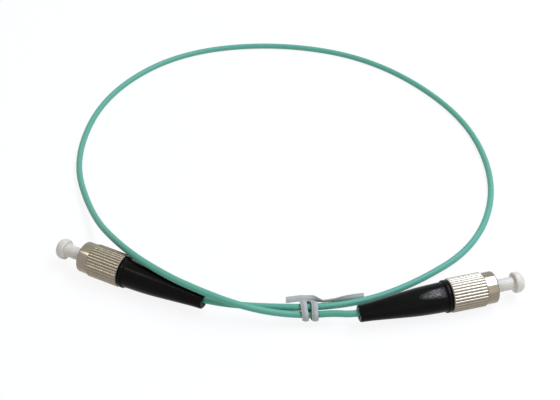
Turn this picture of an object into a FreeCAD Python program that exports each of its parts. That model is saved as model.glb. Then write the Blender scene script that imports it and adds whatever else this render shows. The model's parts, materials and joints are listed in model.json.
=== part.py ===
import FreeCAD, Part
import math
import os

import Sketcher

# Fibre patch cord: two screw-coupled plugs under dust caps, joined by one jacketed cord.
# The cord lies in a loop on the floor and a twist tie holds its two ends side by side.
# Millimetres.  The origin is on the floor under the middle of the two plugs, X runs to the
# right from plug to plug, Y away from the viewer over the loop, Z up.

vector = FreeCAD.Vector
doc = FreeCAD.newDocument("fibre_patch_cord")
sheet = doc.addObject("Spreadsheet::Sheet", "Sizes")
named = []


class Size:
    """A length that carries its number and the sheet expression that gives it."""

    def __init__(self, value, text):
        self.value = value
        self.text = text

    def combine(self, other, sign, value):
        other_text = other.text if isinstance(other, Size) else repr(other)
        return Size(value, f"({self.text} {sign} {other_text})")

    def __add__(self, other):
        return self.combine(other, "+", self.value + number(other))

    def __sub__(self, other):
        return self.combine(other, "-", self.value - number(other))

    def __mul__(self, other):
        return self.combine(other, "*", self.value * number(other))

    def __truediv__(self, other):
        return self.combine(other, "/", self.value / number(other))

    def __neg__(self):
        return Size(-self.value, f"(0 - {self.text})")


def number(item):
    return item.value if isinstance(item, Size) else item


def root(item):
    return Size(math.sqrt(item.value), f"sqrt({item.text})")


def size(alias, value, note):
    """One driving dimension: a row of the sheet with its note, number and alias."""
    named.append(alias)
    row = len(named)
    sheet.set(f"A{row}", note)
    sheet.set(f"B{row}", str(value))
    sheet.setAlias(f"B{row}", alias)
    return Size(value, f"Sizes.{alias}")


zero = Size(0.0, "0")

# Coupling nut, measured from its rear face forward.
nut_diameter = size("nut_diameter", 10.0, "coupling nut over the knurl")
nut_length = size("nut_length", 14.0, "coupling nut, rear face to front face")
knurl_length = size("knurl_length", 10.5, "knurled length from the rear face")
knurl_step = size("knurl_step", 0.3, "drop from the knurl to the smooth collar")
flute_count = size("flute_count", 33, "straight flutes around the knurl")
flute_width = size("flute_width", 0.42, "width of one flute at the knurl's surface")
flute_depth = size("flute_depth", 0.2, "depth of one flute")
nut_edge = size("nut_edge", 0.35, "chamfer on the nut's rear edge and mouth")
nut_round = size("nut_round", 0.6, "rounding of the nut's front edge")
nut_shoulder = size("nut_shoulder", 2.2, "thickness of the nut's rear wall")
nut_bore = size("nut_bore", 7.3, "bore of the nut inside its thread")

# Plug frame, ferrule and spring.
frame_barrel = size("frame_barrel", 6.0, "plug frame, diameter of the keyed barrel")
frame_neck = size("frame_neck", 5.8, "plug frame neck inside the nut's rear wall")
frame_wall = size("frame_wall", 0.6, "wall of the plug frame's rear neck")
frame_flange = size("frame_flange", 1.6, "length of the flange that the nut pulls on")
frame_recess = size("frame_recess", 1.0, "barrel front behind the nut's front face")
frame_overhang = size("frame_overhang", 1.5, "plug frame behind the nut's rear face")
front_bore = size("front_bore", 5.0, "counterbore round the ferrule at the barrel front")
front_bore_depth = size("front_bore_depth", 2.2, "depth of that counterbore")
lip_length = size("lip_length", 1.0, "lip that the ferrule holder stops against")
key_width = size("key_width", 2.0, "width of the alignment key")
key_length = size("key_length", 3.2, "length of the alignment key")
key_root = size("key_root", 0.3, "key sunk into the barrel wall")
nut_clearance = size("nut_clearance", 0.1, "nut clear of the plug frame all round")
nut_play = size("nut_play", 0.3, "nut clear of the flange and of the boot along the axis")
ferrule_diameter = size("ferrule_diameter", 2.5, "ceramic ferrule")
ferrule_length = size("ferrule_length", 10.5, "ceramic ferrule")
ferrule_reach = size("ferrule_reach", 4.4, "ferrule tip in front of the barrel")
ferrule_tip = size("ferrule_tip", 0.4, "chamfer round the ferrule's tip")
ferrule_travel = size("ferrule_travel", 1.0, "how far the ferrule springs back")
slide_clearance = size("slide_clearance", 0.1, "sliding pieces clear of their bores all round")
stop_gap = size("stop_gap", 0.05, "holder and fibre clear of their stops at rest")
holder_flange = size("holder_flange", 1.95, "length of the holder's flange")
holder_wall = size("holder_wall", 0.2, "holder wall round the ferrule's rear end")
holder_overlap = size("holder_overlap", 0.8, "holder tail inside the rear body at rest")
well_room = size("well_room", 0.5, "free depth behind the holder tail at full travel")
spring_wire = size("spring_wire", 0.4, "spring wire, across its corners")
spring_turns = size("spring_turns", 5, "turns of the spring")

# Rear body, crimp and buffered fibre.
spigot_length = size("spigot_length", 2.1, "rear body pressed into the plug frame")
collar_length = size("collar_length", 1.5, "rear body flange behind the plug frame")
collar_diameter = size("collar_diameter", 6.6, "rear body flange")
post_length = size("post_length", 6.0, "crimp post")
post_diameter = size("post_diameter", 3.2, "crimp post")
buffer_diameter = size("buffer_diameter", 0.9, "buffered fibre")
yarn_thickness = size("yarn_thickness", 0.2, "strength yarn laid over the post")
crimp_wall = size("crimp_wall", 0.35, "crimp sleeve wall")
crimp_neck = size("crimp_neck", 4.0, "crimp sleeve length over the jacket")
fit_clearance = size("fit_clearance", 0.05, "pieces that are pushed together, all round")
end_gap = size("end_gap", 0.1, "pushed-together pieces clear of each other along the axis")

# Boot and dust cap.
boot_length = size("boot_length", 26.7, "boot, front face to tail")
boot_flange_diameter = size("boot_flange_diameter", 9.6, "boot flange next to the nut")
boot_flange_length = size("boot_flange_length", 1.2, "boot flange next to the nut")
boot_shoulder_diameter = size("boot_shoulder_diameter", 8.8, "boot just behind its flange")
boot_crown_length = size("boot_crown_length", 15.0, "convex front part of the boot")
boot_crown_diameter = size("boot_crown_diameter", 6.8, "boot where the convex part ends")
boot_slim_length = size("boot_slim_length", 7.0, "straight taper behind the convex part")
boot_slim_diameter = size("boot_slim_diameter", 5.35, "boot where the taper ends")
boot_tail_diameter = size("boot_tail_diameter", 4.9, "boot at its tail")
boot_crown_radius = size("boot_crown_radius", 140.0, "bend of the boot's convex outline")
boot_rim = size("boot_rim", 0.35, "edges broken on the boot's flange and tail")
cap_neck_diameter = size("cap_neck_diameter", 3.8, "dust cap tube")
cap_neck_reach = size("cap_neck_reach", 6.1, "dust cap tube in front of the nut")
cap_grip = size("cap_grip", 5.2, "length of ferrule inside the dust cap")
cap_tip_room = size("cap_tip_room", 0.3, "free space beyond the ferrule's tip")
cap_knob_diameter = size("cap_knob_diameter", 6.2, "dust cap knob")
cap_knob_length = size("cap_knob_length", 3.0, "dust cap knob")
cap_dome = size("cap_dome", 1.9, "rounding of the knob's front")
cap_edge = size("cap_edge", 0.35, "slope behind the knob and broken rear edge")
cap_lead = size("cap_lead", 0.2, "lead-in chamfer of the dust cap's mouth")

# Cord, twist tie and where the plugs lie.
cord_diameter = size("cord_diameter", 2.0, "cord jacket")
tie_width = size("tie_width", 1.9, "twist tie strip")
tie_thickness = size("tie_thickness", 0.8, "twist tie strip")
tie_clearance = size("tie_clearance", 0.3, "twist tie clear of the cord")
tie_pitch = size("tie_pitch", 3.1, "spacing of the tie's two turns")
tie_lift = size("tie_lift", 0.25, "strip's middle above the outside of the turns")
left_x = size("left_x", -48.0, "left nut's rear face")
left_y = size("left_y", 3.6, "left nut's rear face")
left_heading = size("left_heading", 153.5, "way the left plug points, degrees from X")
right_x = size("right_x", 46.08, "right nut's rear face")
right_y = size("right_y", -6.44, "right nut's rear face")
right_heading = size("right_heading", 15.0, "way the right plug points, degrees from X")
doc.recompute()

# Stations along a plug's axis: zero at the nut's rear face, forward is positive.
nut_radius = nut_diameter / 2
collar_radius = nut_radius - knurl_step
barrel_radius = frame_barrel / 2
bore_radius = nut_bore / 2
flange_radius = bore_radius - nut_clearance
neck_radius = frame_neck / 2
chamber_radius = neck_radius - frame_wall
hole_radius = neck_radius + nut_clearance
flange_rear = nut_shoulder + nut_play
frame_front = nut_length - frame_recess
frame_rear = -frame_overhang
lip_front = frame_front - front_bore_depth
key_top = root(flange_radius * flange_radius - key_width * key_width / 4)
lip_rear = lip_front - lip_length

ferrule_radius = ferrule_diameter / 2
ferrule_front = frame_front + ferrule_reach
ferrule_rear = ferrule_front - ferrule_length
holder_front = lip_rear - stop_gap
holder_rear = holder_front - holder_flange
holder_radius = chamber_radius - slide_clearance
tail_radius = ferrule_radius + holder_wall
spring_seat = frame_rear + spigot_length
holder_tail = spring_seat - holder_overlap
buffer_radius = buffer_diameter / 2
fibre_bore = buffer_radius + fit_clearance
well_radius = tail_radius + slide_clearance
well_rear = holder_tail - ferrule_travel - well_room

body_rear = frame_rear - collar_length
post_rear = body_rear - post_length
post_radius = post_diameter / 2
yarn_inner = post_radius + fit_clearance / 2
yarn_outer = yarn_inner + yarn_thickness
sleeve_inner = yarn_outer + fit_clearance / 2
sleeve_outer = sleeve_inner + crimp_wall
sleeve_front = body_rear - end_gap
crimp_step = post_rear - end_gap
crimp_rear = crimp_step - crimp_neck
cord_radius = cord_diameter / 2
jacket_hole = cord_radius + fit_clearance
neck_outer = jacket_hole + crimp_wall
jacket_front = crimp_step - end_gap

boot_front = -nut_play
boot_tail = boot_front - boot_length
boot_flange_rear = boot_front - boot_flange_length
crown_rear = boot_flange_rear - boot_crown_length
slim_rear = crown_rear - boot_slim_length

cap_open = ferrule_front - cap_grip
cap_bore = ferrule_radius + fit_clearance
cap_neck_radius = cap_neck_diameter / 2
cap_blind = ferrule_front + cap_tip_room
knob_rear = nut_length + cap_neck_reach
knob_front = knob_rear + cap_knob_length
knob_radius = cap_knob_diameter / 2


def origin_feature(body, role):
    return next(item for item in body.Origin.OriginFeatures if item.Role == role)


def bind(sketch, constraint, expression):
    index = sketch.addConstraint(constraint)
    sketch.setExpression(f"Constraints[{index}]", expression.text)


def arc_between(start, finish, radius, side):
    """Short arc from start to finish; its centre is left of the way for side 1, right for -1."""
    way = finish.sub(start)
    half = way.Length / 2
    left = vector(-way.y, way.x, 0).normalize()
    centre = start + way * 0.5 + left * (side * math.sqrt(radius**2 - half**2))
    first, last = (start, finish) if side > 0 else (finish, start)
    angles = [math.atan2(end.y - centre.y, end.x - centre.x) for end in (first, last)]
    if angles[1] < angles[0]:
        angles[1] += 2 * math.pi
    return Part.ArcOfCircle(Part.Circle(centre, vector(0, 0, 1), radius), angles[0], angles[1])


def profile(body, name, role, corners):
    """Closed sketch through corners (x, y) or (x, y, bend, side), every size bound to the sheet."""
    sketch = body.newObject("Sketcher::SketchObject", name)
    sketch.AttachmentSupport = (origin_feature(body, role), [""])
    sketch.MapMode = "FlatFace"
    ends = []
    for index, corner in enumerate(corners):
        target = corners[(index + 1) % len(corners)]
        start = vector(corner[0].value, corner[1].value, 0)
        finish = vector(target[0].value, target[1].value, 0)
        if len(target) == 2:
            sketch.addGeometry(Part.LineSegment(start, finish), False)
            ends.append((1, 2))
        else:
            bend, side = target[2], target[3]
            sketch.addGeometry(arc_between(start, finish, bend.value, side), False)
            ends.append((1, 2) if side > 0 else (2, 1))
    for index in range(len(corners)):
        after = (index + 1) % len(corners)
        sketch.addConstraint(
            Sketcher.Constraint("Coincident", index, ends[index][1], after, ends[after][0])
        )
    for index, corner in enumerate(corners):
        before = corners[index - 1]
        straight = index > 0 and len(corner) == 2
        point = ends[index][0]
        if straight and corner[0].text == before[0].text:
            sketch.addConstraint(Sketcher.Constraint("Vertical", index - 1))
        elif corner[0].value == 0:
            sketch.addConstraint(Sketcher.Constraint("PointOnObject", index, point, -2))
        else:
            across = Sketcher.Constraint("DistanceX", -1, 1, index, point, corner[0].value)
            bind(sketch, across, corner[0])
        if straight and corner[1].text == before[1].text:
            sketch.addConstraint(Sketcher.Constraint("Horizontal", index - 1))
        elif corner[1].value == 0:
            sketch.addConstraint(Sketcher.Constraint("PointOnObject", index, point, -1))
        else:
            up = Sketcher.Constraint("DistanceY", -1, 1, index, point, corner[1].value)
            bind(sketch, up, corner[1])
        if len(corner) == 4:
            bend = Sketcher.Constraint("Radius", index - 1, corner[2].value)
            bind(sketch, bend, corner[2])
    return sketch


def place(item, side):
    """Lays a piece on its plug's axis, level at the height of the nut resting on its knurl."""
    x, y, heading = sides[side]
    turn = FreeCAD.Rotation(vector(0, 0, 1), heading.value)
    item.Placement = FreeCAD.Placement(vector(x.value, y.value, nut_radius.value), turn)
    item.setExpression("Placement.Base.x", x.text)
    item.setExpression("Placement.Base.y", y.text)
    item.setExpression("Placement.Base.z", nut_radius.text)
    item.setExpression("Placement.Rotation.Angle", heading.text)


def turned(side, piece, corners):
    """A body turned about the plug's axis from its half outline of (station, radius) corners."""
    label = f"{side}_{piece}"
    body = doc.addObject("PartDesign::Body", label)
    body.Label = label
    sketch = profile(body, f"{label}_outline", "XY_Plane", corners)
    turning = body.newObject("PartDesign::Revolution", f"{label}_turned")
    turning.Profile = sketch
    turning.ReferenceAxis = (sketch, ["H_Axis"])
    turning.Angle = 360
    body.Tip = turning
    place(body, side)
    pieces.append(body)
    return body


sides = {
    "left": (left_x, left_y, left_heading),
    "right": (right_x, right_y, right_heading),
}
pieces = []

for side in sides:
    # Coupling nut: knurl, smooth collar with a rounded front edge, rear wall with a hole.
    nut = turned(side, "coupling_nut", [
        (zero, hole_radius),
        (zero, nut_radius - nut_edge),
        (nut_edge, nut_radius),
        (knurl_length - knurl_step, nut_radius),
        (knurl_length, collar_radius),
        (nut_length - nut_round, collar_radius),
        (nut_length, collar_radius - nut_round, nut_round, -1),
        (nut_length, bore_radius + nut_edge),
        (nut_length - nut_edge, bore_radius),
        (nut_shoulder, bore_radius),
        (nut_shoulder, hole_radius),
    ])
    # One V flute, carried on above the knurl at the same slope, then repeated all round.
    flute_over = flute_depth * 0.5
    flute_half = flute_width * 0.75
    flute = profile(nut, f"{side}_flute", "YZ_Plane", [
        (zero, nut_radius - flute_depth),
        (flute_half, nut_radius + flute_over),
        (-flute_half, nut_radius + flute_over),
    ])
    doc.recompute()
    plain_volume = nut.Shape.Volume
    cut = nut.newObject("PartDesign::Pocket", f"{side}_flute_cut")
    cut.Profile = flute
    cut.Reversed = True
    cut.setExpression("Length", knurl_length.text)
    knurl = nut.newObject("PartDesign::PolarPattern", f"{side}_knurl")
    knurl.Originals = [cut]
    knurl.Axis = (origin_feature(nut, "X_Axis"), [""])
    knurl.Angle = 360
    knurl.setExpression("Occurrences", flute_count.text)
    nut.Tip = knurl
    doc.recompute()
    if nut.Shape.Volume >= plain_volume - flute_count.value * 0.2:
        raise RuntimeError("the flutes do not cut the nut")

    # Plug frame: neck through the nut, flange the nut pulls on, keyed barrel with an inner lip.
    # The key's outer corners reach as far out as the flange.
    frame = turned(side, "plug_frame", [
        (frame_rear, chamber_radius),
        (frame_rear, neck_radius),
        (flange_rear, neck_radius),
        (flange_rear, flange_radius),
        (flange_rear + frame_flange, flange_radius),
        (flange_rear + frame_flange, barrel_radius),
        (frame_front, barrel_radius),
        (frame_front, front_bore / 2),
        (lip_front, front_bore / 2),
        (lip_front, ferrule_radius + slide_clearance),
        (lip_rear, ferrule_radius + slide_clearance),
        (lip_rear, chamber_radius),
    ])
    key = frame.newObject("PartDesign::AdditiveBox", f"{side}_key")
    key.setExpression("Length", key_length.text)
    key.setExpression("Width", key_width.text)
    key.setExpression("Height", (key_top - barrel_radius + key_root).text)
    key.setExpression("Placement.Base.x", (frame_front - key_length).text)
    key.setExpression("Placement.Base.y", (-key_width / 2).text)
    key.setExpression("Placement.Base.z", (barrel_radius - key_root).text)
    frame.Tip = key

    turned(side, "ferrule", [
        (ferrule_rear, zero),
        (ferrule_rear, ferrule_radius),
        (ferrule_front - ferrule_tip, ferrule_radius),
        (ferrule_front, ferrule_radius - ferrule_tip),
        (ferrule_front, zero),
    ])
    turned(side, "ferrule_holder", [
        (holder_tail, fibre_bore),
        (holder_tail, tail_radius),
        (holder_rear, tail_radius),
        (holder_rear, holder_radius),
        (holder_front, holder_radius),
        (holder_front, ferrule_radius),
        (ferrule_rear, ferrule_radius),
        (ferrule_rear, fibre_bore),
    ])

    # Spring between the rear body and the holder's flange, wound from a flat-sided wire.
    # The coil stands along the plug's axis, so its start lies below the axis.
    spring_radius = (tail_radius + chamber_radius) / 2
    coil_start = spring_seat + spring_wire / 2
    coil_height = holder_rear - spring_seat - spring_wire
    coil = doc.addObject("Part::Helix", f"{side}_coil")
    coil.Placement = FreeCAD.Placement(vector(0, 0, 0), FreeCAD.Rotation(vector(0, 1, 0), 90))
    coil.setExpression("Placement.Base.x", coil_start.text)
    coil.setExpression("Radius", spring_radius.text)
    coil.setExpression("Height", coil_height.text)
    coil.setExpression("Pitch", (coil_height / spring_turns).text)
    wire = doc.addObject("Part::RegularPolygon", f"{side}_wire")
    wire.Polygon = 4
    wire.Placement = FreeCAD.Placement(vector(0, 0, 0), FreeCAD.Rotation(vector(1, 0, 0), 90))
    wire.setExpression("Placement.Base.x", coil_start.text)
    wire.setExpression("Placement.Base.z", (-spring_radius).text)
    wire.setExpression("Circumradius", (spring_wire / 2).text)
    spring = doc.addObject("Part::Sweep", f"{side}_spring")
    spring.Label = f"{side}_spring"
    spring.Sections = [wire]
    spring.Spine = (coil, [])
    spring.Solid = True
    spring.Frenet = True
    place(spring, side)
    pieces.append(spring)

    # Rear body: spigot in the frame with a well for the holder's tail, flange, crimp post.
    turned(side, "rear_body", [
        (post_rear, fibre_bore),
        (post_rear, post_radius),
        (body_rear, post_radius),
        (body_rear, collar_diameter / 2),
        (frame_rear, collar_diameter / 2),
        (frame_rear, chamber_radius),
        (spring_seat, chamber_radius),
        (spring_seat, well_radius),
        (well_rear, well_radius),
        (well_rear, fibre_bore),
    ])
    turned(side, "strength_yarn", [
        (post_rear, yarn_inner),
        (post_rear, yarn_outer),
        (sleeve_front, yarn_outer),
        (sleeve_front, yarn_inner),
    ])
    turned(side, "crimp_sleeve", [
        (crimp_rear, jacket_hole),
        (crimp_rear, neck_outer),
        (crimp_step - crimp_wall, neck_outer),
        (crimp_step - crimp_wall, sleeve_outer),
        (sleeve_front, sleeve_outer),
        (sleeve_front, sleeve_inner),
        (crimp_step, sleeve_inner),
        (crimp_step, jacket_hole),
    ])
    turned(side, "buffered_fibre", [
        (jacket_front + stop_gap, zero),
        (jacket_front + stop_gap, buffer_radius),
        (ferrule_rear - stop_gap, buffer_radius),
        (ferrule_rear - stop_gap, zero),
    ])

    # Boot: flange, convex front, slender tail with broken rims, stepped bore over the crimp.
    boot_flange_radius = boot_flange_diameter / 2
    tail_outer = boot_tail_diameter / 2
    pocket = collar_diameter / 2 + fit_clearance
    turned(side, "boot", [
        (boot_front, pocket),
        (boot_front, boot_flange_radius - boot_rim),
        (boot_front - boot_rim, boot_flange_radius),
        (boot_flange_rear + boot_rim, boot_flange_radius),
        (boot_flange_rear, boot_flange_radius - boot_rim),
        (boot_flange_rear, boot_shoulder_diameter / 2),
        (crown_rear, boot_crown_diameter / 2, boot_crown_radius, 1),
        (slim_rear, boot_slim_diameter / 2),
        (boot_tail + boot_rim, tail_outer),
        (boot_tail, tail_outer - boot_rim),
        (boot_tail, jacket_hole),
        (crimp_rear - end_gap, jacket_hole),
        (crimp_rear - end_gap, neck_outer + fit_clearance),
        (crimp_step - crimp_wall - end_gap, neck_outer + fit_clearance),
        (crimp_step - crimp_wall - end_gap, sleeve_outer + fit_clearance),
        (body_rear - fit_clearance, sleeve_outer + fit_clearance),
        (body_rear - fit_clearance, pocket),
    ])

    # Dust cap: tube over the ferrule, blind at the tip, with a domed knob to pull it by.
    turned(side, "dust_cap", [
        (cap_open, cap_bore + cap_lead),
        (cap_open, cap_neck_radius),
        (knob_rear - cap_edge, cap_neck_radius),
        (knob_rear, cap_neck_radius + cap_edge),
        (knob_rear, knob_radius - cap_edge),
        (knob_rear + cap_edge, knob_radius),
        (knob_front - cap_dome, knob_radius),
        (knob_front, knob_radius - cap_dome, cap_dome, -1),
        (knob_front, zero),
        (cap_blind, zero),
        (cap_blind, cap_bore),
        (cap_open + cap_lead, cap_bore),
    ])
doc.recompute()


def on_axis(side, station):
    """A point on a plug's axis, at a station measured like the outlines above."""
    x, y, heading = sides[side]
    angle = math.radians(heading.value)
    reach = number(station)
    return vector(
        x.value + reach * math.cos(angle), y.value + reach * math.sin(angle), nut_radius.value
    )


# Cord route, corner by corner from the left boot to the right one.  It leaves the left boot,
# passes under the crossing and through the tie, goes round the loop on the floor, comes back
# over the left boot, crosses over itself and runs through the tie into the right boot.
inside_boot = 5.5
outside_boot = 2.5
route = [
    on_axis("left", boot_tail + inside_boot),
    on_axis("left", boot_tail - outside_boot),
    vector(-7.5, -11.4, 5.1),
    vector(16.5, -10.2, 5.1),
    vector(35.0, 0.3, 1.6),
    vector(58.8, 20.0, 1.0),
    vector(69.2, 50.8, 1.0),
    vector(61.6, 88.4, 1.0),
    vector(33.2, 121.7, 1.0),
    vector(-4.1, 133.7, 1.0),
    vector(-41.7, 126.0, 1.0),
    vector(-66.1, 99.0, 1.0),
    vector(-72.4, 62.0, 1.0),
    vector(-62.5, 31.0, 3.0),
    vector(-48.0, 7.6, 14.0),
    vector(-35.0, -3.0, 13.2),
    vector(-24.5, -8.3, 11.8),
    vector(-14.5, -12.3, 10.4),
    vector(-4.5, -13.1, 6.6),
    vector(4.8, -12.5, 3.7),
    on_axis("right", boot_tail - outside_boot),
    on_axis("right", boot_tail + inside_boot),
]


def cord_wire(corners, start, finish):
    """Straight runs joined by tangent arcs, from start through the corners to finish."""
    edges = []
    radii = []
    reached = start
    for before, corner, after in zip(corners, corners[1:], corners[2:]):
        arriving = before.sub(corner)
        leaving = after.sub(corner)
        turn = math.pi - arriving.getAngle(leaving)
        reach = 0.45 * min(arriving.Length, leaving.Length)
        radii.append(reach / math.tan(turn / 2))
        arriving.normalize()
        leaving.normalize()
        entry = corner + arriving * reach
        exit_point = corner + leaving * reach
        middle_way = (arriving + leaving).normalize()
        sagitta = radii[-1] / math.cos(turn / 2) - radii[-1]
        edges.append(Part.LineSegment(reached, entry).toShape())
        edges.append(Part.Arc(entry, corner + middle_way * sagitta, exit_point).toShape())
        reached = exit_point
    edges.append(Part.LineSegment(reached, finish).toShape())
    return Part.Wire(edges), radii


cord_start = on_axis("left", jacket_front)
cord_finish = on_axis("right", jacket_front)
centre_line, bend_radii = cord_wire(route, cord_start, cord_finish)
way_out = route[1].sub(route[0])
section = Part.Wire(Part.makeCircle(cord_radius.value, cord_start, way_out))
cord = doc.addObject("Part::Feature", "cord")
cord.Label = "cord"
cord.Shape = centre_line.makePipeShell([section], True, False)
cord.Placement = FreeCAD.Placement()
pieces.append(cord)
plain_cord = math.pi * cord_radius.value**2 * centre_line.Length
if abs(cord.Shape.Volume / plain_cord - 1) > 0.01:
    raise RuntimeError("the cord's volume is not its section times its length")

# Twist tie: two turns round both strands and a strip with two free tails, all one piece.
# In its own frame X runs along the strands, Y from the near strand to the far one.
tie_near = vector(6.2, -12.75, 4.06)
tie_far = vector(6.2, -10.7, 5.1)
tie_middle = (tie_near + tie_far) * 0.5
spread = tie_far.sub(tie_near)
tie_inner = cord_radius.value + tie_clearance.value
tie_outer = tie_inner + tie_thickness.value


def slot(radius, start_x, width):
    """A block with round ends about both strands, width long along the strands."""
    half = spread.Length / 2
    bar = Part.makeBox(width, 2 * half, 2 * radius, vector(start_x, -half, -radius))
    along = vector(1, 0, 0)
    near_end = Part.makeCylinder(radius, width, vector(start_x, -half, 0), along)
    far_end = Part.makeCylinder(radius, width, vector(start_x, half, 0), along)
    return bar.fuse([near_end, far_end]).removeSplitter()


strip_height = tie_outer + spread.Length / 2 + tie_lift.value
strip_line = [
    vector(-6.8, 3.1, 0),
    vector(-2.2, strip_height, 0),
    vector(1.2, strip_height, 0),
    vector(3.6, 2.95, 0),
    vector(16.0, 4.7, 0),
]
strip_edges = [
    Part.LineSegment(first, last).toShape() for first, last in zip(strip_line, strip_line[1:])
]
half_strip = tie_thickness.value / 2
strip_face = Part.Wire(strip_edges).makeOffset2D(half_strip, 0, True, False, False)
strip_face.translate(vector(0, 0, -tie_width.value / 2))
strip = strip_face.extrude(vector(0, 0, tie_width.value))
turns = []
for middle in (-tie_pitch.value / 2, tie_pitch.value / 2):
    start_x = middle - tie_width.value / 2
    solid = slot(tie_outer, start_x, tie_width.value)
    hollow = slot(tie_inner, start_x - tie_width.value, 3 * tie_width.value)
    turns.append(solid.cut(hollow))
tie = doc.addObject("Part::Feature", "twist_tie")
tie.Label = "twist_tie"
tie.Shape = strip.fuse(turns).removeSplitter()
lean = math.degrees(math.atan2(spread.z, spread.y))
tie.Placement = FreeCAD.Placement(tie_middle, FreeCAD.Rotation(vector(1, 0, 0), lean))
pieces.append(tie)

doc.recompute()
for item in doc.Objects:
    if "Invalid" in item.State or "Error" in item.State:
        raise RuntimeError(f"{item.Label} did not recompute: {item.State}")
for piece in pieces:
    shape = piece.Shape
    if shape.isNull() or not shape.isValid() or len(shape.Solids) != 1:
        raise RuntimeError(f"{piece.Label} is not one valid solid")

os.makedirs("parts", exist_ok=True)
for piece in pieces:
    piece.Shape.exportStep(f"parts/{piece.Label}.step")

print("pieces:", len(pieces))
print("cord length inside the boots and out:", round(centre_line.Length, 1))
print("cord bend radii:", " ".join(str(round(radius, 1)) for radius in bend_radii))
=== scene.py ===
import json
import math

import bmesh
import bpy
from mathutils import Matrix, Vector


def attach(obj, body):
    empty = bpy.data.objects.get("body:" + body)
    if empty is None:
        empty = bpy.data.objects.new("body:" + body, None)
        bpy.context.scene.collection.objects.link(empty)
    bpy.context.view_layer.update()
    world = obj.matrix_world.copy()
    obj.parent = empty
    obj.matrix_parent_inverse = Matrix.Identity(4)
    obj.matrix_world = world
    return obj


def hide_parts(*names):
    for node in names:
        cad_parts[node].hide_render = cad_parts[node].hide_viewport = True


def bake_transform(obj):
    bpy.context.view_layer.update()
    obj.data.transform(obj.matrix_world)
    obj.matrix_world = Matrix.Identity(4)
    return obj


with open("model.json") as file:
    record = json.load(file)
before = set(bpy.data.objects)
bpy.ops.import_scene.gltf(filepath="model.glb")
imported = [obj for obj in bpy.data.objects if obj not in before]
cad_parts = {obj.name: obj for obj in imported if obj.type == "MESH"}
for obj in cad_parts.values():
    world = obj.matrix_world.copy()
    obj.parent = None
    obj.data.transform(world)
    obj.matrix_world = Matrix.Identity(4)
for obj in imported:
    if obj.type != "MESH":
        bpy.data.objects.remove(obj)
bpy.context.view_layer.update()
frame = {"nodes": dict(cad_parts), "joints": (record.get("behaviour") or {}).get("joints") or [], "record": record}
print("frame loaded:", len(frame["nodes"]), "nodes")

mm = 0.001  # the settings are in millimetres and degrees, unless a note says metres
scene = bpy.context.scene
scene.view_settings.view_transform = "Standard"


def linear(hexText):
    # sRGB hex to the linear colour that shaders take
    channels = [int(hexText[k:k + 2], 16) / 255 for k in (0, 2, 4)]
    return [c / 12.92 if c <= 0.04045 else ((c + 0.055) / 1.055) ** 2.4 for c in channels] + [1.0]


def addNode(tree, kind, settings, links=None):
    node = tree.nodes.new(kind)
    for name, value in settings.items():
        if name == "stops":  # the two colours of a ramp: position, hex
            for element, (position, hexText) in zip(node.color_ramp.elements, value):
                element.position = position
                element.color = linear(hexText)
        elif isinstance(name, int) or name in node.inputs:
            node.inputs[name].default_value = value
        else:
            setattr(node, name, value)
    for name, socket in (links or {}).items():
        tree.links.new(socket, node.inputs[name])
    return node


def newMaterial(name):
    made = bpy.data.materials.new(name)
    made.use_nodes = True
    tree = made.node_tree
    return made, tree, tree.nodes["Principled BSDF"]


# camera at the photo's angle, looking down along +Y
cameraSettings = {
    "lens": 67.5, "sensor": 36, "nearest": 10.0,
    "place": (-2.2, -215.75, 223.4), "lookDown": 41,
}
cameraData = bpy.data.cameras.new("camera")
cameraData.lens = cameraSettings["lens"]
cameraData.sensor_width = cameraSettings["sensor"]
cameraData.sensor_fit = "HORIZONTAL"
cameraData.clip_start = cameraSettings["nearest"] * mm
camera = bpy.data.objects.new("camera", cameraData)
camera.location = Vector(cameraSettings["place"]) * mm
camera.rotation_euler = (math.radians(90 - cameraSettings["lookDown"]), 0, 0)
scene.collection.objects.link(camera)
scene.camera = camera
print("camera placed")

# a plug's own axes: X forward along its nut's spin axis, from the nut's rear face, and Z up
sides = ("left", "right")
jointToRear = 7.0  # the nut's joint is at its middle
joints = {joint["name"]: joint for joint in frame["joints"]}


def plugMatrix(side):
    spin = joints[f"{side}_nut_spin"]
    forward = Vector(spin["axis"])
    rear = Vector(spin["pos_m"]) - forward * jointToRear * mm
    return Matrix.Translation(rear) @ Matrix.Rotation(math.atan2(forward.y, forward.x), 4, "Z")


def onAxis(side, station):
    return plugMatrix(side) @ Vector((station * mm, 0, 0))


# jacketed cord: control points of one smooth spline, in the order of the CAD route
cordSettings = {
    "diameter": 0.002, "length": 0.50,  # metres, as the points are
    "points": [
        onAxis("left", -21.5), onAxis("left", -27.3),
        (-0.0092, -0.0108, 0.0050), (0.0145, -0.0107, 0.0047), (0.0352, -0.0003, 0.0018),
        (0.0592, 0.0191, 0.0010), (0.0694, 0.0508, 0.0010), (0.0622, 0.0884, 0.0010),
        (0.0335, 0.1222, 0.0010), (-0.0041, 0.1334, 0.0010), (-0.0416, 0.1263, 0.0010),
        (-0.0660, 0.0990, 0.0010), (-0.0720, 0.0620, 0.0010), (-0.0620, 0.0313, 0.0024),
        (-0.0482, 0.0070, 0.0109), (-0.0350, -0.0032, 0.0101), (-0.0245, -0.0084, 0.0089),
        (-0.0145, -0.0123, 0.0076), (-0.0045, -0.0132, 0.0052), (0.0056, -0.0124, 0.0033),
        (0.0126, -0.0126, 0.0044), onAxis("right", -27.9), onAxis("right", -21.5),
    ],
    "alongSteps": 24, "roundSteps": 5,
    "colours": [(0.3, "549a80"), (0.7, "5ea48a")], "roughness": 0.45, "specular": 0.34,
    "streak": (170.0, 0.3),  # die lines, long and wide
    "grain": 0.4, "grainDepth": 0.04, "grainStrength": 0.12,  # coarser than the real skin, to show
}
cordCurve = bpy.data.curves.new("cord", "CURVE")
cordCurve.dimensions = "3D"
cordCurve.resolution_u = cordSettings["alongSteps"]
spline = cordCurve.splines.new("NURBS")
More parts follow.
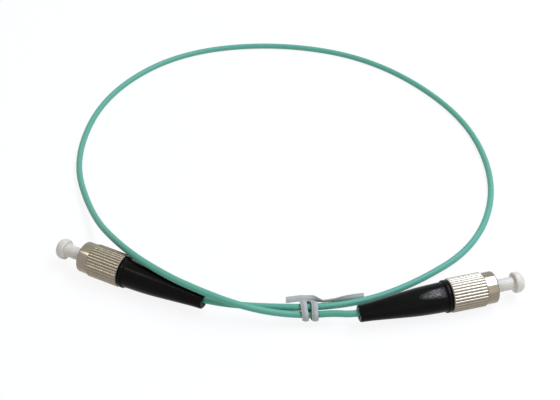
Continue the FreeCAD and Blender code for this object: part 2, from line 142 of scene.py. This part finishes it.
spline.points.add(len(cordSettings["points"]) - 1)
for point, place in zip(spline.points, cordSettings["points"]):
    point.co = (*place, 1.0)
spline.order_u = 3
spline.use_endpoint_u = True
cord = bpy.data.objects.new("cordJacket", cordCurve)
scene.collection.objects.link(cord)
bpy.context.view_layer.update()
# the bare line, read before the cord gets its thickness, is what the tie is fitted to
cordLine = [v.co.copy() for v in bpy.data.meshes.new_from_object(cord).vertices]
cordCurve.bevel_depth = cordSettings["diameter"] / 2
cordCurve.bevel_resolution = cordSettings["roundSteps"]
cordCurve.use_fill_caps = True

# PVC jacket, extruded: pale aqua green, a soft sheen, faint lines along its length
jacket, tree, shader = newMaterial("pvcJacketExtruded")
coords = addNode(tree, "ShaderNodeTexCoord", {})
girth = math.pi * cordSettings["diameter"]
streakLength, streakWidth = [size * mm for size in cordSettings["streak"]]
perStreak = (cordSettings["length"] / streakLength, girth / streakWidth, 1.0)
stretch = addNode(tree, "ShaderNodeMapping", {"Scale": perStreak}, {"Vector": coords.outputs["UV"]})
streaks = addNode(
    tree, "ShaderNodeTexNoise", {"Scale": 1.0, "Detail": 3.0}, {"Vector": stretch.outputs["Vector"]},
)
grain = addNode(
    tree, "ShaderNodeTexNoise", {"Scale": 1 / (cordSettings["grain"] * mm), "Detail": 4.0},
    {"Vector": coords.outputs["Object"]},
)
tint = addNode(
    tree, "ShaderNodeValToRGB", {"stops": cordSettings["colours"]}, {"Fac": streaks.outputs["Fac"]},
)
bump = addNode(tree, "ShaderNodeBump", {
    "Strength": cordSettings["grainStrength"], "Distance": cordSettings["grainDepth"] * mm,
}, {"Height": grain.outputs["Fac"]})
shader.inputs["Roughness"].default_value = cordSettings["roughness"]
shader.inputs["Specular IOR Level"].default_value = cordSettings["specular"]
tree.links.new(tint.outputs["Color"], shader.inputs["Base Color"])
tree.links.new(bump.outputs["Normal"], shader.inputs["Normal"])
cordCurve.materials.append(jacket)
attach(cord, "cord_set")
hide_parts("cord")
print("cord laid")


def roundedOutline(corners, steps=6):
    # an outline from corners of (station, radius, rounding)
    points = []
    for index, (x, y, bend) in enumerate(corners):
        here = Vector((x, y))
        if bend == 0:
            points.append(here)
            continue
        back = (Vector(corners[index - 1][:2]) - here).normalized()
        onward = (Vector(corners[(index + 1) % len(corners)][:2]) - here).normalized()
        half = back.angle(onward) / 2
        reach = bend / math.tan(half)
        centre = here + (back + onward).normalized() * (bend / math.sin(half))
        first = here + back * reach - centre
        last = here + onward * reach - centre
        sweep = first.angle_signed(last)
        for step in range(steps + 1):
            points.append(centre + Matrix.Rotation(-sweep * step / steps, 2) @ first)
    return points


def turnOutline(mesh, outline, angles, radiusAt=None):
    # sweeps (station, radius) points round X; a radius of zero is one vertex on the axis
    rows = []
    for x, r in outline:
        if r < 1e-6:
            rows.append([mesh.verts.new((x * mm, 0, 0))])
            continue
        row = []
        for column, angle in enumerate(angles):
            radius = (radiusAt(x, r, column) if radiusAt else r) * mm
            row.append(mesh.verts.new((x * mm, radius * math.cos(angle), radius * math.sin(angle))))
        rows.append(row)
    for first, second in zip(rows, rows[1:] + rows[:1]):
        count = max(len(first), len(second))
        if count == 1:
            continue
        for k in range(count):
            after = (k + 1) % count
            corners = [first[k % len(first)], first[after % len(first)]]
            corners += [second[after % len(second)], second[k % len(second)]]
            mesh.faces.new(list(dict.fromkeys(corners)))


def joinRows(mesh, rows):
    # a closed tube through rows of vertices, with a face on each end
    count = len(rows[0])
    for first, second in zip(rows, rows[1:]):
        for k in range(count):
            after = (k + 1) % count
            mesh.faces.new((first[k], first[after], second[after], second[k]))
    mesh.faces.new(rows[0])
    mesh.faces.new(rows[-1])


def evenAngles(count):
    return [2 * math.pi * k / count for k in range(count)]


def addPiece(name, mesh, matrix, finish, body, slot, *nodes, crease=32):
    bmesh.ops.recalc_face_normals(mesh, faces=mesh.faces)
    data = bpy.data.meshes.new(name)
    mesh.to_mesh(data)
    mesh.free()
    data.shade_smooth()
    data.set_sharp_from_angle(angle=math.radians(crease))
    data.materials.append(finish)
    piece = bpy.data.objects.new(name, data)
    scene.collection.objects.link(piece)
    piece.matrix_world = matrix
    if body:  # a piece given no body rides on none
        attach(piece, body)
    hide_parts(*nodes)
    return piece


# coupling nut: straight knurl of rounded ridges, smooth collar, thread inside its mouth
nutSettings = {
    "radius": 5.0, "collar": 4.7, "length": 14.0, "knurlEnd": 10.5, "hole": 3.0, "wall": 2.2,
    "chamfer": 0.3, "mouth": 4.1,
    "flutes": 33, "fluteDepth": 0.2,
    # one ridge and flute: share of the pitch, share of the depth
    "ridge": [(-0.5, 1.0), (-0.45, 0.96), (-0.4, 0.78), (-0.33, 0.45), (-0.24, 0.18), (-0.12, 0.04),
              (0.0, 0.0), (0.12, 0.04), (0.24, 0.18), (0.33, 0.45), (0.4, 0.78), (0.45, 0.96)],
    "threadRoot": 4.0, "threadCrest": 3.66, "threadPitch": 0.75, "threadStart": 3.0, "threadTurns": 14.0,
    "threadFoot": 0.34, "threadTop": 0.06,  # half widths of the ridge
    "threadSink": 0.04,  # its foot is this deep in the wall
    "threadSteps": 48, "threadRunOut": 16, "threadEnd": 0.1,  # steps to a turn and an end, height it ends at
    "colours": [(0.3, "898171"), (0.7, "918979")],
    # painted shade on the flutes' floors, and the shares of the depth over which it fades in
    "fluteShade": "5c5548", "fluteShadeFrom": 0.68, "fluteShadeTo": 0.97,
    "haze": 2.4,  # clouds in the plate's gloss, across
    "roughness": (0.15, 0.19), "knurlDuller": 0.06,  # the pressed knurl is duller than the turned collar
    "collarMargin": 0.04,  # what is past the collar's radius by this much is knurl
}

# nickel plate on turned brass: warm grey metal with soft bright bands, and painted shade darkening the flutes'
# floors
nickel, tree, shader = newMaterial("nickelPlatedBrassTurned")
coords = addNode(tree, "ShaderNodeTexCoord", {})
haze = addNode(
    tree, "ShaderNodeTexNoise", {"Scale": 1 / (nutSettings["haze"] * mm), "Detail": 3.0},
    {"Vector": coords.outputs["Object"]},
)
plate = addNode(
    tree, "ShaderNodeValToRGB", {"stops": nutSettings["colours"]}, {"Fac": haze.outputs["Fac"]},
)
across = addNode(tree, "ShaderNodeMapping", {"Scale": (0, 1, 1)}, {"Vector": coords.outputs["Object"]})
fromAxis = addNode(tree, "ShaderNodeVectorMath", {"operation": "LENGTH"}, {0: across.outputs["Vector"]})
# painted shade in the flutes, deepening toward their floors; the flutes lie between the collar's radius and the
# ridges'
shadeInFlute = addNode(tree, "ShaderNodeMapRange", {
    "From Min": (nutSettings["radius"] - nutSettings["fluteDepth"] * nutSettings["fluteShadeFrom"]) * mm,
    "From Max": (nutSettings["radius"] - nutSettings["fluteDepth"] * nutSettings["fluteShadeTo"]) * mm,
}, {"Value": fromAxis.outputs["Value"]})
onKnurl = addNode(tree, "ShaderNodeMath", {
    "operation": "GREATER_THAN", 1: (nutSettings["collar"] + nutSettings["collarMargin"]) * mm,
}, {0: fromAxis.outputs["Value"]})
# the painted shade, on the knurl only
fluteShadeMask = addNode(tree, "ShaderNodeMath", {"operation": "MULTIPLY"}, {
    0: shadeInFlute.outputs["Result"], 1: onKnurl.outputs["Value"],
})
# the plate's colour, darkened in the flutes by the painted shade
shade = addNode(tree, "ShaderNodeMix", {"data_type": "RGBA", 7: linear(nutSettings["fluteShade"])}, {
    0: fluteShadeMask.outputs["Value"], 6: plate.outputs["Color"],
})
smoothest, roughest = nutSettings["roughness"]
gloss = addNode(
    tree, "ShaderNodeMapRange", {"To Min": smoothest, "To Max": roughest}, {"Value": haze.outputs["Fac"]},
)
duller = addNode(tree, "ShaderNodeMath", {"operation": "MULTIPLY_ADD", 1: nutSettings["knurlDuller"]}, {
    0: onKnurl.outputs["Value"], 2: gloss.outputs["Result"],
})
shader.inputs["Metallic"].default_value = 1.0
tree.links.new(shade.outputs[2], shader.inputs["Base Color"])
tree.links.new(duller.outputs["Value"], shader.inputs["Roughness"])


def makeNut(side):
    s = nutSettings
    mesh = bmesh.new()
    pitch = 2 * math.pi / s["flutes"]
    angles = [pitch * (k + share) for k in range(s["flutes"]) for share, depth in s["ridge"]]
    floors = [s["radius"] - s["fluteDepth"] * depth for share, depth in s["ridge"]] * s["flutes"]
    outline = roundedOutline([
        (0.0, s["hole"], 0.15), (0.0, s["radius"] - s["chamfer"], 0.12), (s["chamfer"], s["radius"], 0.12),
        (s["knurlEnd"] - s["chamfer"], s["radius"], 0.1), (s["knurlEnd"], s["collar"], 0.12),
        (s["length"], s["collar"], 0.5), (s["length"], s["mouth"], 0.08),
        (s["length"] - s["chamfer"], s["threadRoot"], 0.1), (s["wall"], s["threadRoot"], 0.0),
        (s["wall"], s["hole"], 0.1),
    ])

    def fluted(x, r, column):
        return min(r, floors[column]) if x < s["knurlEnd"] else r

    turnOutline(mesh, outline, angles, fluted)
    # the thread is one closed ridge along a helix, low at both ends
    steps = int(s["threadTurns"] * s["threadSteps"])
    foot = s["threadRoot"] + s["threadSink"]
    rows = []
    for k in range(steps + 1):
        x = s["threadStart"] + s["threadPitch"] * k / s["threadSteps"]
        rise = min(1.0, s["threadEnd"] + min(k, steps - k) / s["threadRunOut"])
        crest = s["threadRoot"] - (s["threadRoot"] - s["threadCrest"]) * rise
        angle = 2 * math.pi * k / s["threadSteps"]
        section = [
            (-s["threadFoot"], foot), (-s["threadTop"], crest),
            (s["threadTop"], crest), (s["threadFoot"], foot),
        ]
        rows.append([
            mesh.verts.new(Vector((x + along, radius * math.cos(angle), radius * math.sin(angle))) * mm)
            for along, radius in section
        ])
    joinRows(mesh, rows)
    addPiece(
        f"{side}CouplingNut", mesh, plugMatrix(side), nickel, f"{side}_nut", "nickel_plate",
        f"{side}_coupling_nut",
    )


for side in sides:
    makeNut(side)
print("nuts turned")

# strain-relief boot: flange next to the nut, convex front, slender tail round the cord
bootSettings = {
    "columns": 96,
    "outline": [
        (-0.3, 3.35, 0.15), (-0.3, 4.8, 0.32), (-1.5, 4.8, 0.3), (-1.5, 4.4, 0.2), (-9.0, 4.2, 110.0),
        (-16.5, 3.4, 40.0), (-23.5, 2.675, 30.0), (-27.0, 2.45, 0.4), (-27.0, 1.07, 0.2),
        (-13.2, 1.07, 0.0), (-13.2, 1.45, 0.0), (-9.55, 1.45, 0.0), (-9.55, 2.28, 0.0),
        (-3.05, 2.28, 0.0), (-3.05, 3.35, 0.0),
    ],
    "colours": [(0.35, "060807"), (0.75, "0b0e0c")],
    "rub": 5.0,  # dull patches, across
    "skin": 0.5, "skinDepth": 0.03, "skinStrength": 0.25,  # coarser than the real skin, to show
    "roughness": (0.16, 0.3), "specular": 0.06, "specularTint": "fff9ee",
    # the shiny patch: the way it faces, the heights that way and the stations over which it fades in
    "patchFaces": (0, -0.42, 0.907), "patchHeights": (4.02, 4.2), "patchStations": (-1.7, -2.4),
    "scuffNoise": (0.35, 0.6), "scuffSpecular": (0.1, 0.74),
}

# moulded elastomer: near black, satin, its skin faintly grained and rubbed duller in patches
rubber, tree, shader = newMaterial("elastomerMouldedBlack")
coords = addNode(tree, "ShaderNodeTexCoord", {})
rub = addNode(
    tree, "ShaderNodeTexNoise", {"Scale": 1 / (bootSettings["rub"] * mm), "Detail": 5.0, "Roughness": 0.6},
    {"Vector": coords.outputs["Object"]},
)
skin = addNode(
    tree, "ShaderNodeTexNoise", {"Scale": 1 / (bootSettings["skin"] * mm), "Detail": 2.0},
    {"Vector": coords.outputs["Object"]},
)
tint = addNode(tree, "ShaderNodeValToRGB", {"stops": bootSettings["colours"]}, {"Fac": rub.outputs["Fac"]})
smoothest, roughest = bootSettings["roughness"]
gloss = addNode(
    tree, "ShaderNodeMapRange", {"To Min": smoothest, "To Max": roughest}, {"Value": rub.outputs["Fac"]},
)
bump = addNode(tree, "ShaderNodeBump", {
    "Strength": bootSettings["skinStrength"], "Distance": bootSettings["skinDepth"] * mm,
}, {"Height": skin.outputs["Fac"]})
# one patch high on the front's side is rubbed shinier than the rest
facing = addNode(tree, "ShaderNodeVectorMath", {
    "operation": "DOT_PRODUCT", 1: bootSettings["patchFaces"],
}, {0: coords.outputs["Object"]})
fadeFrom, fadeTo = [height * mm for height in bootSettings["patchHeights"]]
inPatch = addNode(tree, "ShaderNodeMapRange", {"From Min": fadeFrom, "From Max": fadeTo}, {
    "Value": facing.outputs["Value"],
})
along = addNode(tree, "ShaderNodeSeparateXYZ", {}, {0: coords.outputs["Object"]})
fadeFrom, fadeTo = [station * mm for station in bootSettings["patchStations"]]
offFlange = addNode(tree, "ShaderNodeMapRange", {"From Min": fadeFrom, "From Max": fadeTo}, {
    "Value": along.outputs["X"],
})
patch = addNode(tree, "ShaderNodeMath", {"operation": "MULTIPLY"}, {
    0: inPatch.outputs["Result"], 1: offFlange.outputs["Result"],
})
lowNoise, highNoise = bootSettings["scuffNoise"]
dullest, shiniest = bootSettings["scuffSpecular"]
scuff = addNode(tree, "ShaderNodeMapRange", {
    "From Min": lowNoise, "From Max": highNoise, "To Min": dullest, "To Max": shiniest,
}, {"Value": skin.outputs["Fac"]})
sheen = addNode(tree, "ShaderNodeMath", {"operation": "MULTIPLY_ADD", 2: bootSettings["specular"]}, {
    0: patch.outputs["Value"], 1: scuff.outputs["Result"],
})
shader.inputs["Specular Tint"].default_value = linear(bootSettings["specularTint"])
shader.inputs["Specular IOR Level"].default_value = bootSettings["specular"]
tree.links.new(sheen.outputs["Value"], shader.inputs["Specular IOR Level"])
tree.links.new(tint.outputs["Color"], shader.inputs["Base Color"])
tree.links.new(gloss.outputs["Result"], shader.inputs["Roughness"])
tree.links.new(bump.outputs["Normal"], shader.inputs["Normal"])

for side in sides:
    mesh = bmesh.new()
    turnOutline(mesh, roundedOutline(bootSettings["outline"]), evenAngles(bootSettings["columns"]))
    addPiece(f"{side}Boot", mesh, plugMatrix(side), rubber, "cord_set", "boot_rubber", f"{side}_boot")
print("boots turned")

# dust cap: tube over the ferrule with a blind bore, domed knob to pull
capSettings = {
    "columns": 72, "roundSteps": 8,
    "outline": [
        (23.1, 0.0, 0.0), (23.1, 3.1, 1.85), (20.1, 3.1, 0.45), (20.1, 1.9, 0.6), (12.2, 1.9, 0.2),
        (12.2, 1.3, 0.15), (17.7, 1.3, 0.3), (17.7, 0.0, 0.0),
    ],
    "colours": [(0.3, "d1cab9"), (0.7, "d7d0bf")],
    "cloud": 3.0,  # milky clouds, across
    "roughness": (0.42, 0.5), "ior": 1.51,
    "subsurface": 0.55, "lightReach": (1.4, 1.4, 1.3),  # how far red, green and blue light goes in
}

# natural polyethylene, moulded: milky, light passes into it, soft shine
polythene, tree, shader = newMaterial("polyethyleneMouldedNatural")
coords = addNode(tree, "ShaderNodeTexCoord", {})
cloud = addNode(
    tree, "ShaderNodeTexNoise", {"Scale": 1 / (capSettings["cloud"] * mm), "Detail": 3.0},
    {"Vector": coords.outputs["Object"]},
)
tint = addNode(tree, "ShaderNodeValToRGB", {"stops": capSettings["colours"]}, {"Fac": cloud.outputs["Fac"]})
smoothest, roughest = capSettings["roughness"]
gloss = addNode(
    tree, "ShaderNodeMapRange", {"To Min": smoothest, "To Max": roughest}, {"Value": cloud.outputs["Fac"]},
)
shader.inputs["Subsurface Weight"].default_value = capSettings["subsurface"]
shader.inputs["Subsurface Radius"].default_value = [reach * mm for reach in capSettings["lightReach"]]
shader.inputs["Subsurface Scale"].default_value = 1.0
shader.inputs["IOR"].default_value = capSettings["ior"]
tree.links.new(tint.outputs["Color"], shader.inputs["Base Color"])
tree.links.new(gloss.outputs["Result"], shader.inputs["Roughness"])

for side in sides:
    mesh = bmesh.new()
    outline = roundedOutline(capSettings["outline"], capSettings["roundSteps"])
    turnOutline(mesh, outline, evenAngles(capSettings["columns"]))
    addPiece(
        f"{side}DustCap", mesh, plugMatrix(side), polythene, f"{side}_cap", "cap_polythene",
        f"{side}_dust_cap",
    )
print("caps turned")

# twist tie: strip with its wire as a low rib, wound twice round both strands, two free tails
tieSettings = {
    "x": 6.15, "inner": 1.2, "half": 0.4, "crease": 40,
    "turns": [(-1.45, 0.14), (1.52, 0.04)],  # place along the strands, skew
    "winding": (-25, 640), "windingStep": 5,  # both ends
    "crossing": (205, 440),  # where it goes from turn to turn
    "tuck": (560, 640, -0.7),  # the second turn's end goes back a little under the strands
    # flat wings beside the round wire: across, outward
    "section": [(-0.95, 0.0), (-0.91, 0.15), (-0.8, 0.2), (-0.45, 0.24), (-0.26, 0.34), (0.0, 0.4),
                (0.26, 0.34), (0.45, 0.24), (0.8, 0.2), (0.91, 0.15), (0.95, 0.0), (0.91, -0.15),
                (0.8, -0.2), (0.45, -0.24), (0.26, -0.34), (0.0, -0.4), (-0.26, -0.34), (-0.45, -0.24),
                (-0.8, -0.2), (-0.91, -0.15)],
    # the tails as one strip seen from above, with the rounding of its bends
    "strip": [(-6.7, 3.15, 0.0), (-2.4, 3.7, 6.0), (1.2, 3.6, 2.5), (3.9, 2.85, 1.6), (7.2, 3.3, 8.0),
              (15.7, 5.1, 0.0)],
    "stripStep": 0.8, "roundSteps": 10,
    "leans": [(-1.0, 105.0), (4.0, 5.0), (15.7, 75.0)],  # place, lean of the strip's width
    "drop": (1.0, 0.0162),  # the tail sinks behind the strand from here, as the square of the way
    "colours": [(0.3, "9fa096"), (0.7, "abaca2")], "roughness": 0.5,
    "mottle": 1.1, "mottleDepth": 0.04, "mottleStrength": 0.2,
}

# plastic coat on tie wire, extruded: pale grey, dull, a little mottled
tiePlastic, tree, shader = newMaterial("polyethyleneCoatedWire")
coords = addNode(tree, "ShaderNodeTexCoord", {})
mottle = addNode(
    tree, "ShaderNodeTexNoise", {"Scale": 1 / (tieSettings["mottle"] * mm), "Detail": 4.0},
    {"Vector": coords.outputs["Object"]},
)
tint = addNode(tree, "ShaderNodeValToRGB", {"stops": tieSettings["colours"]}, {"Fac": mottle.outputs["Fac"]})
bump = addNode(tree, "ShaderNodeBump", {
    "Strength": tieSettings["mottleStrength"], "Distance": tieSettings["mottleDepth"] * mm,
}, {"Height": mottle.outputs["Fac"]})
shader.inputs["Roughness"].default_value = tieSettings["roughness"]
tree.links.new(tint.outputs["Color"], shader.inputs["Base Color"])
tree.links.new(bump.outputs["Normal"], shader.inputs["Normal"])


def eased(stops, at):
    # smooth steps through (place, value) stops
    if at <= stops[0][0]:
        return stops[0][1]
    for (place, value), (nextPlace, nextValue) in zip(stops, stops[1:]):
        if at <= nextPlace:
            share = (at - place) / (nextPlace - place)
            return value + (nextValue - value) * share * share * (3 - 2 * share)
    return stops[-1][1]


def sweepRibbon(mesh, path, widths, section):
    # widths gives the way of the ribbon's width at each point; section is (across, outward)
    rows = []
    last = len(path) - 1
    for k, point in enumerate(path):
        outward = widths[k].cross(path[min(k + 1, last)] - path[max(k - 1, 0)]).normalized()
        rows.append([mesh.verts.new((point + widths[k] * a + outward * b) * mm) for a, b in section])
    joinRows(mesh, rows)


def strandAt(points):
    # where a strand passes the tie
    x = tieSettings["x"] * mm
    for first, second in zip(points, points[1:]):
        if (first.x - x) * (second.x - x) <= 0:
            return first.lerp(second, (x - first.x) / (second.x - first.x))


# the tie's own axes: X as the world's, Y from the near strand to the far one
xAxis = Vector((1, 0, 0))
third = len(cordLine) // 3  # the cord passes the tie in its first third and in its last
farStrand = strandAt(cordLine[:third])
nearStrand = strandAt(cordLine[-third:])
middle = (farStrand + nearStrand) / 2
spread = farStrand - nearStrand
spread.x = 0
yAxis = spread.normalized()
tieTurn = Matrix((xAxis, yAxis, xAxis.cross(yAxis))).transposed().to_4x4()
tieMatrix = Matrix.Translation(middle) @ tieTurn
halfSpread = spread.length / 2 / mm

# the winding: round both strands, over to the second turn, and tucked in at its end
mesh = bmesh.new()
ringRadius = tieSettings["inner"] + tieSettings["half"]
fromAngle, toAngle = tieSettings["crossing"]
tuckFrom, tuckTo, tuckBy = tieSettings["tuck"]
path = []
for degrees in range(*tieSettings["winding"], tieSettings["windingStep"]):
    angle = math.radians(degrees)
    y = ringRadius * math.cos(angle) + math.copysign(halfSpread, math.cos(angle))
    first, second = [at - skew * y for at, skew in tieSettings["turns"]]
    x = eased([(fromAngle, first), (toAngle, second)], degrees)
    x += eased([(tuckFrom, 0.0), (tuckTo, tuckBy)], degrees)
    path.append(Vector((x, y, ringRadius * math.sin(angle))))
sweepRibbon(mesh, path, [xAxis] * len(path), tieSettings["section"])

# the free tails: the strip lies flat, stands on edge past its bend, and turns flat again at its end
bends = roundedOutline(tieSettings["strip"], tieSettings["roundSteps"])
strip = []
for first, second in zip(bends, bends[1:]):
    count = max(1, round((second - first).length / tieSettings["stripStep"]))
    strip += [first.lerp(second, k / count) for k in range(count)]
strip.append(bends[-1])
dropFrom, dropRate = tieSettings["drop"]
strip = [Vector((x, y, -dropRate * max(0.0, x - dropFrom) ** 2)) for x, y in strip]
widths = []
for point in strip:
    lean = math.radians(eased(tieSettings["leans"], point.x))
    widths.append(Vector((0, math.sin(lean), math.cos(lean))))
sweepRibbon(mesh, strip, widths, tieSettings["section"])
tie = addPiece(
    "twistTie", mesh, tieMatrix, tiePlastic, "cord_set", "tie_plastic", "twist_tie",
    crease=tieSettings["crease"],
)
print("tie wound")


def seenRays(tree):
    # one for the rays that see the plain background: camera, glossy and transmission
    lightPath = addNode(tree, "ShaderNodeLightPath", {})
    seen = addNode(tree, "ShaderNodeMath", {"operation": "ADD"}, {
        0: lightPath.outputs["Is Camera Ray"], 1: lightPath.outputs["Is Glossy Ray"],
    })
    seenThrough = addNode(tree, "ShaderNodeMath", {"operation": "ADD", "use_clamp": True}, {
        0: seen.outputs[0], 1: lightPath.outputs["Is Transmission Ray"],
    })
    return seenThrough.outputs[0]


# floor: white paper that keeps the object's shadow
floorSettings = {
    "corners": [(-1.5, -1.2), (1.5, -1.2), (1.5, 1.8), (-1.5, 1.8)],  # metres
    "paper": "fbfbfb", "white": "ffffff", "whiteShare": 0.88,  # the rest of what is seen is lit paper
}
floorMaterial, tree, shader = newMaterial("paperSweep")
tree.nodes.remove(shader)
paper = addNode(tree, "ShaderNodeBsdfDiffuse", {"Color": linear(floorSettings["paper"])})
white = addNode(tree, "ShaderNodeEmission", {"Color": linear(floorSettings["white"]), "Strength": 1.0})
whitened = addNode(
    tree, "ShaderNodeMath", {"operation": "MULTIPLY", 1: floorSettings["whiteShare"]}, {0: seenRays(tree)},
)
mixed = addNode(
    tree, "ShaderNodeMixShader", {}, {0: whitened.outputs[0], 1: paper.outputs[0], 2: white.outputs[0]},
)
tree.links.new(mixed.outputs[0], tree.nodes["Material Output"].inputs["Surface"])
mesh = bmesh.new()
mesh.faces.new([mesh.verts.new((x, y, 0)) for x, y in floorSettings["corners"]])
floorData = bpy.data.meshes.new("floor")
mesh.to_mesh(floorData)
mesh.free()
floorData.materials.append(floorMaterial)
floor = bpy.data.objects.new("floor", floorData)
scene.collection.objects.link(floor)

# world: white where it is seen, dim as a light
worldSettings = {"colour": "ffffff", "lit": 0.28, "seen": 1.0}
world = bpy.data.worlds.new("studio")
scene.world = world
world.use_nodes = True
tree = world.node_tree
skyColour = linear(worldSettings["colour"])
dim = addNode(tree, "ShaderNodeBackground", {"Color": skyColour, "Strength": worldSettings["lit"]})
bright = addNode(tree, "ShaderNodeBackground", {"Color": skyColour, "Strength": worldSettings["seen"]})
mixed = addNode(
    tree, "ShaderNodeMixShader", {}, {0: seenRays(tree), 1: dim.outputs[0], 2: bright.outputs[0]},
)
tree.links.new(mixed.outputs[0], tree.nodes["World Output"].inputs["Surface"])

# softboxes, in metres: each faces its aim from the way toward gives, its long side along
panels = {
    "keyPanel": {  # a strip in the right nut's highlight
        "aim": (0.053, -0.005, 0.005), "toward": (0.401, 0.19, 0.896), "along": (-0.16, 0.6, -0.1),
        "distance": 0.66, "size": (0.21, 0.75), "brightness": 11.6, "colour": "d6e2ff",
    },
    "fillPanel": {  # low in front of the right nut
        "aim": (0.055, -0.004, 0.005), "toward": (0.537, -0.65, 0.537), "along": (0, 0, 1),
        "distance": 0.6, "size": (0.6, 0.6), "brightness": 0.45, "colour": "ffffff",
    },
    "sidePanel": {  # the left nut's highlight
        "aim": (-0.054, 0.006, 0.005), "toward": (-0.54, -0.03, 0.84), "along": (0, 1, 0),
        "distance": 0.7, "size": (0.13, 0.2), "brightness": 4.4, "colour": "ffffff",
    },
    "edgePanel": {  # the thin light along the left boot
        "aim": (-0.04, -0.001, 0.007), "toward": (-0.39, -0.115, 0.914), "along": (0.16, -0.115, 0.06),
        "distance": 0.7, "size": (0.03, 0.13), "brightness": 26.0, "colour": "ffffff",
    },
}


def addPanel(name, aim, toward, along, distance, size, brightness, colour):
    data = bpy.data.lights.new(name, "AREA")
    data.shape = "RECTANGLE"
    data.size, data.size_y = size
    data.color = linear(colour)[:3]
    data.energy = brightness * math.pi * size[0] * size[1]
    back = Vector(toward).normalized()
    right = Vector(along).cross(back).normalized()
    lampTurn = Matrix((right, back.cross(right), back)).transposed().to_4x4()
    lamp = bpy.data.objects.new(name, data)
    lamp.matrix_world = Matrix.Translation(Vector(aim) + back * distance) @ lampTurn
    scene.collection.objects.link(lamp)


for name, panel in panels.items():
    addPanel(name, **panel)
print("floor and light placed")


def grained(name, low, high, grainSize, roughness, metallic=0.0):
    # a finish with clouds of its own size in colour and gloss
    made, tree, shader = newMaterial(name)
    coords = addNode(tree, "ShaderNodeTexCoord", {})
    grain = addNode(
        tree, "ShaderNodeTexNoise", {"Scale": 1 / (grainSize * mm), "Detail": 4.0},
        {"Vector": coords.outputs["Object"]},
    )
    tint = addNode(
        tree, "ShaderNodeValToRGB", {"stops": [(0.3, low), (0.7, high)]}, {"Fac": grain.outputs["Fac"]},
    )
    gloss = addNode(  # a fifth to either side
        tree, "ShaderNodeMapRange", {"To Min": roughness * 0.8, "To Max": roughness * 1.2},
        {"Value": grain.outputs["Fac"]},
    )
    shader.inputs["Metallic"].default_value = metallic
    tree.links.new(tint.outputs["Color"], shader.inputs["Base Color"])
    tree.links.new(gloss.outputs["Result"], shader.inputs["Roughness"])
    return made


# finishes of the inner pieces by slot: name, two colours, size of the grain, roughness, metallic
finishes = {
    # warm grey metal
    "nickel_plate": grained("nickelPlatedBrassMilled", "8b8373", "938b7b", 2.4, 0.2, 1.0),
    # glossy off-white, clouded a little
    "zirconia": grained("zirconiaPolished", "e6e4dc", "efede6", 1.4, 0.12),
    # grey drawn wire
    "spring_steel": grained("springSteelDrawn", "8b8b89", "a3a3a0", 0.7, 0.3, 1.0),
    # straw-yellow fibres
    "aramid_yarn": grained("aramidYarnLaid", "b8912f", "d6b455", 0.25, 0.7),
    # dull warm grey
    "crimp_metal": grained("nickelPlatedBrassCrimped", "8d8374", "a59b8b", 1.2, 0.35, 1.0),
    # smooth white coat
    "buffer_coat": grained("acrylateBufferDrawn", "eceae4", "f6f4ef", 0.8, 0.3),
}

# spring and buffered fibre, built in the plug's axes and given no body
coreSettings = {
    "springEnds": (0.6, 7.8), "springRadius": 1.87, "wire": 0.19, "springTurns": 5.0,
    "coilSteps": 32, "wireSides": 12,  # steps to a turn
    "fibreEnds": (-9.05, 6.85), "fibreRadius": 0.45, "fibreSteps": 24, "fibreSides": 24,
}


def makeSpring(side):
    s = coreSettings
    seat, flange = s["springEnds"]
    climb = [(0.0, seat + s["wire"]), (s["springTurns"], flange - s["wire"])]
    coil = []
    for k in range(int(s["springTurns"] * s["coilSteps"]) + 1):
        x = eased(climb, k / s["coilSteps"])  # the end turns close up
        angle = 2 * math.pi * k / s["coilSteps"]
        coil.append(Vector((x, s["springRadius"] * math.cos(angle), s["springRadius"] * math.sin(angle))))
    circle = [(s["wire"] * math.cos(a), s["wire"] * math.sin(a)) for a in evenAngles(s["wireSides"])]
    mesh = bmesh.new()
    sweepRibbon(mesh, coil, [xAxis] * len(coil), circle)
    spring = addPiece(
        f"{side}CoilSpring", mesh, plugMatrix(side), finishes["spring_steel"], None, "spring_steel",
        f"{side}_spring",
    )
    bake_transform(spring)


def makeFibre(side):
    s = coreSettings
    back, front = s["fibreEnds"]
    stations = [back + (front - back) * k / s["fibreSteps"] for k in range(s["fibreSteps"] + 1)]
    outline = [(back, 0.0)] + [(x, s["fibreRadius"]) for x in stations] + [(front, 0.0)]
    mesh = bmesh.new()
    turnOutline(mesh, outline, evenAngles(s["fibreSides"]))
    fibre = addPiece(
        f"{side}BufferedFibre", mesh, plugMatrix(side), finishes["buffer_coat"], None, "buffer_coat",
        f"{side}_buffered_fibre",
    )
    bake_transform(fibre)


for side in sides:
    makeSpring(side)
    makeFibre(side)
print("springs and fibres placed")

# the CAD nodes that stay
for part in frame["record"]["subparts"]:
    finish = finishes.get(part["material_slot"])
    if finish:
        slots = frame["nodes"][part["node"]].data.materials
        slots.clear()
        slots.append(finish)
print("CAD nodes finished")
